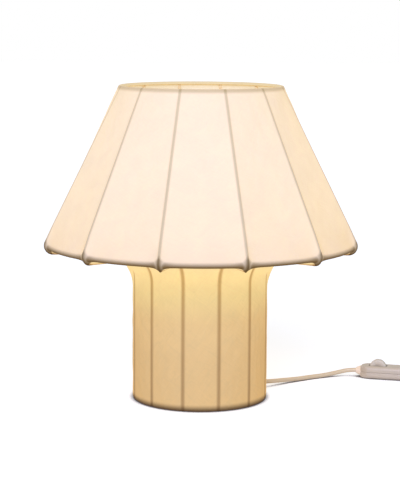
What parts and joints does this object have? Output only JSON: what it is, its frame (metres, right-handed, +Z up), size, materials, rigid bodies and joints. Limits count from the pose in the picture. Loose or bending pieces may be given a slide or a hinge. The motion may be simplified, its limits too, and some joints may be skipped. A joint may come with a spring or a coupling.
{
  "type": "fabric table lamp",
  "caption": "Ribbed fabric table lamp with a flared shade and a round base in one translucent skin over a wire frame, with an LED bulb, a flex, a thumb-wheel dimmer and a plug.",
  "frame": {"origin": "middle of the foot's resting face, without the flex and what is on it", "axes": "+Z up along the lamp's axis, +X towards the side where the flex leaves, -Y towards the viewer"},
  "size_m": [0.5939, 0.3952, 0.4],
  "materials": {
    "shade_fabric": "translucent sprayed cocoon sheet, lit from inside",
    "base_fabric": "translucent sprayed cocoon sheet, lit from inside",
    "frame_wire": "white powder coat",
    "plate_steel": "white powder coat",
    "felt": "needle felt",
    "zinc_steel": "zinc plated",
    "screw_steel": "zinc plated",
    "clamp_plastic": "moulded nylon",
    "flex_sheath": "smooth PVC, pale",
    "brown_insulation": "PVC",
    "blue_insulation": "PVC",
    "holder_plastic": "moulded",
    "ceramic": "glazed porcelain",
    "brass": "bare",
    "black_insulator": "glossy",
    "bulb_cap_metal": "rolled sheet",
    "bulb_plastic": "moulded",
    "board_white": "white solder mask",
    "bulb_diffuser": "milky diffuser",
    "dimmer_plastic": "fine moulded texture",
    "wheel_plastic": "ridged",
    "black_plastic": "moulded",
    "board_green": "solder mask",
    "copper_winding": "enamelled copper wire",
    "terminal_plastic": "moulded",
    "nose_plastic": "soft translucent plastic",
    "plug_plastic": "moulded PVC",
    "pin_nickel": "nickel plated"
  },
  "bodies": {
    "lamp": {"rib_01": "frame_wire", "rib_02": "frame_wire", "rib_03": "frame_wire", "rib_04": "frame_wire", "rib_05": "frame_wire", "rib_06": "frame_wire", "rib_07": "frame_wire", "rib_08": "frame_wire", "rib_09": "frame_wire", "rib_10": "frame_wire", "rib_11": "frame_wire", "rib_12": "frame_wire", "top_ring": "frame_wire", "hem_ring": "frame_wire", "foot_ring": "frame_wire", "shade_skin": "shade_fabric", "base_skin": "base_fabric", "foot_plate": "plate_steel", "felt_pad": "felt", "stem": "zinc_steel", "stem_nuts": "zinc_steel", "stem_washer": "zinc_steel", "cord_clamp": "clamp_plastic", "clamp_screws": "screw_steel", "inner_flex": "flex_sheath", "live_core": "brown_insulation", "neutral_core": "blue_insulation", "holder_cap": "holder_plastic", "holder_skirt": "holder_plastic", "socket_insert": "ceramic", "threaded_shell": "brass", "centre_contact": "brass", "terminals": "brass", "terminal_screws": "screw_steel", "dimmer_lower_shell": "dimmer_plastic", "dimmer_upper_shell": "dimmer_plastic", "potentiometer": "black_plastic", "circuit_board": "board_green", "triac": "black_plastic", "choke": "copper_winding", "dimmer_terminals": "terminal_plastic", "dimmer_cores": "brown_insulation", "dimmer_leads": "flex_sheath", "dimmer_noses": "nose_plastic", "case_screws": "screw_steel", "flex_to_dimmer": "flex_sheath", "flex_to_coil": "flex_sheath", "flex_coil": "flex_sheath", "flex_to_plug": "flex_sheath", "plug_relief": "plug_plastic", "plug_body": "plug_plastic", "plug_pins": "pin_nickel"},
    "bulb": {"bulb_contact": "brass", "bulb_insulator": "black_insulator", "bulb_cap": "bulb_cap_metal", "bulb_housing": "bulb_plastic", "led_board": "board_white", "bulb_globe": "bulb_diffuser"},
    "dimmer_wheel": {"dimmer_wheel": "wheel_plastic", "dimmer_axle": "screw_steel"}
  },
  "joints": [
    {"name": "dimmer_turn", "type": "hinge", "parent": "lamp", "child": "dimmer_wheel", "pos_m": [0.24448, 0.10923, 0.0136], "axis": [0.2588, 0.9659, 0], "range_deg": [-135, 135]},
    {"name": "bulb_lift", "type": "slide", "parent": "lamp", "child": "bulb", "axis": [0, 0, 1], "range_m": [0, 0.2]}
  ]
}
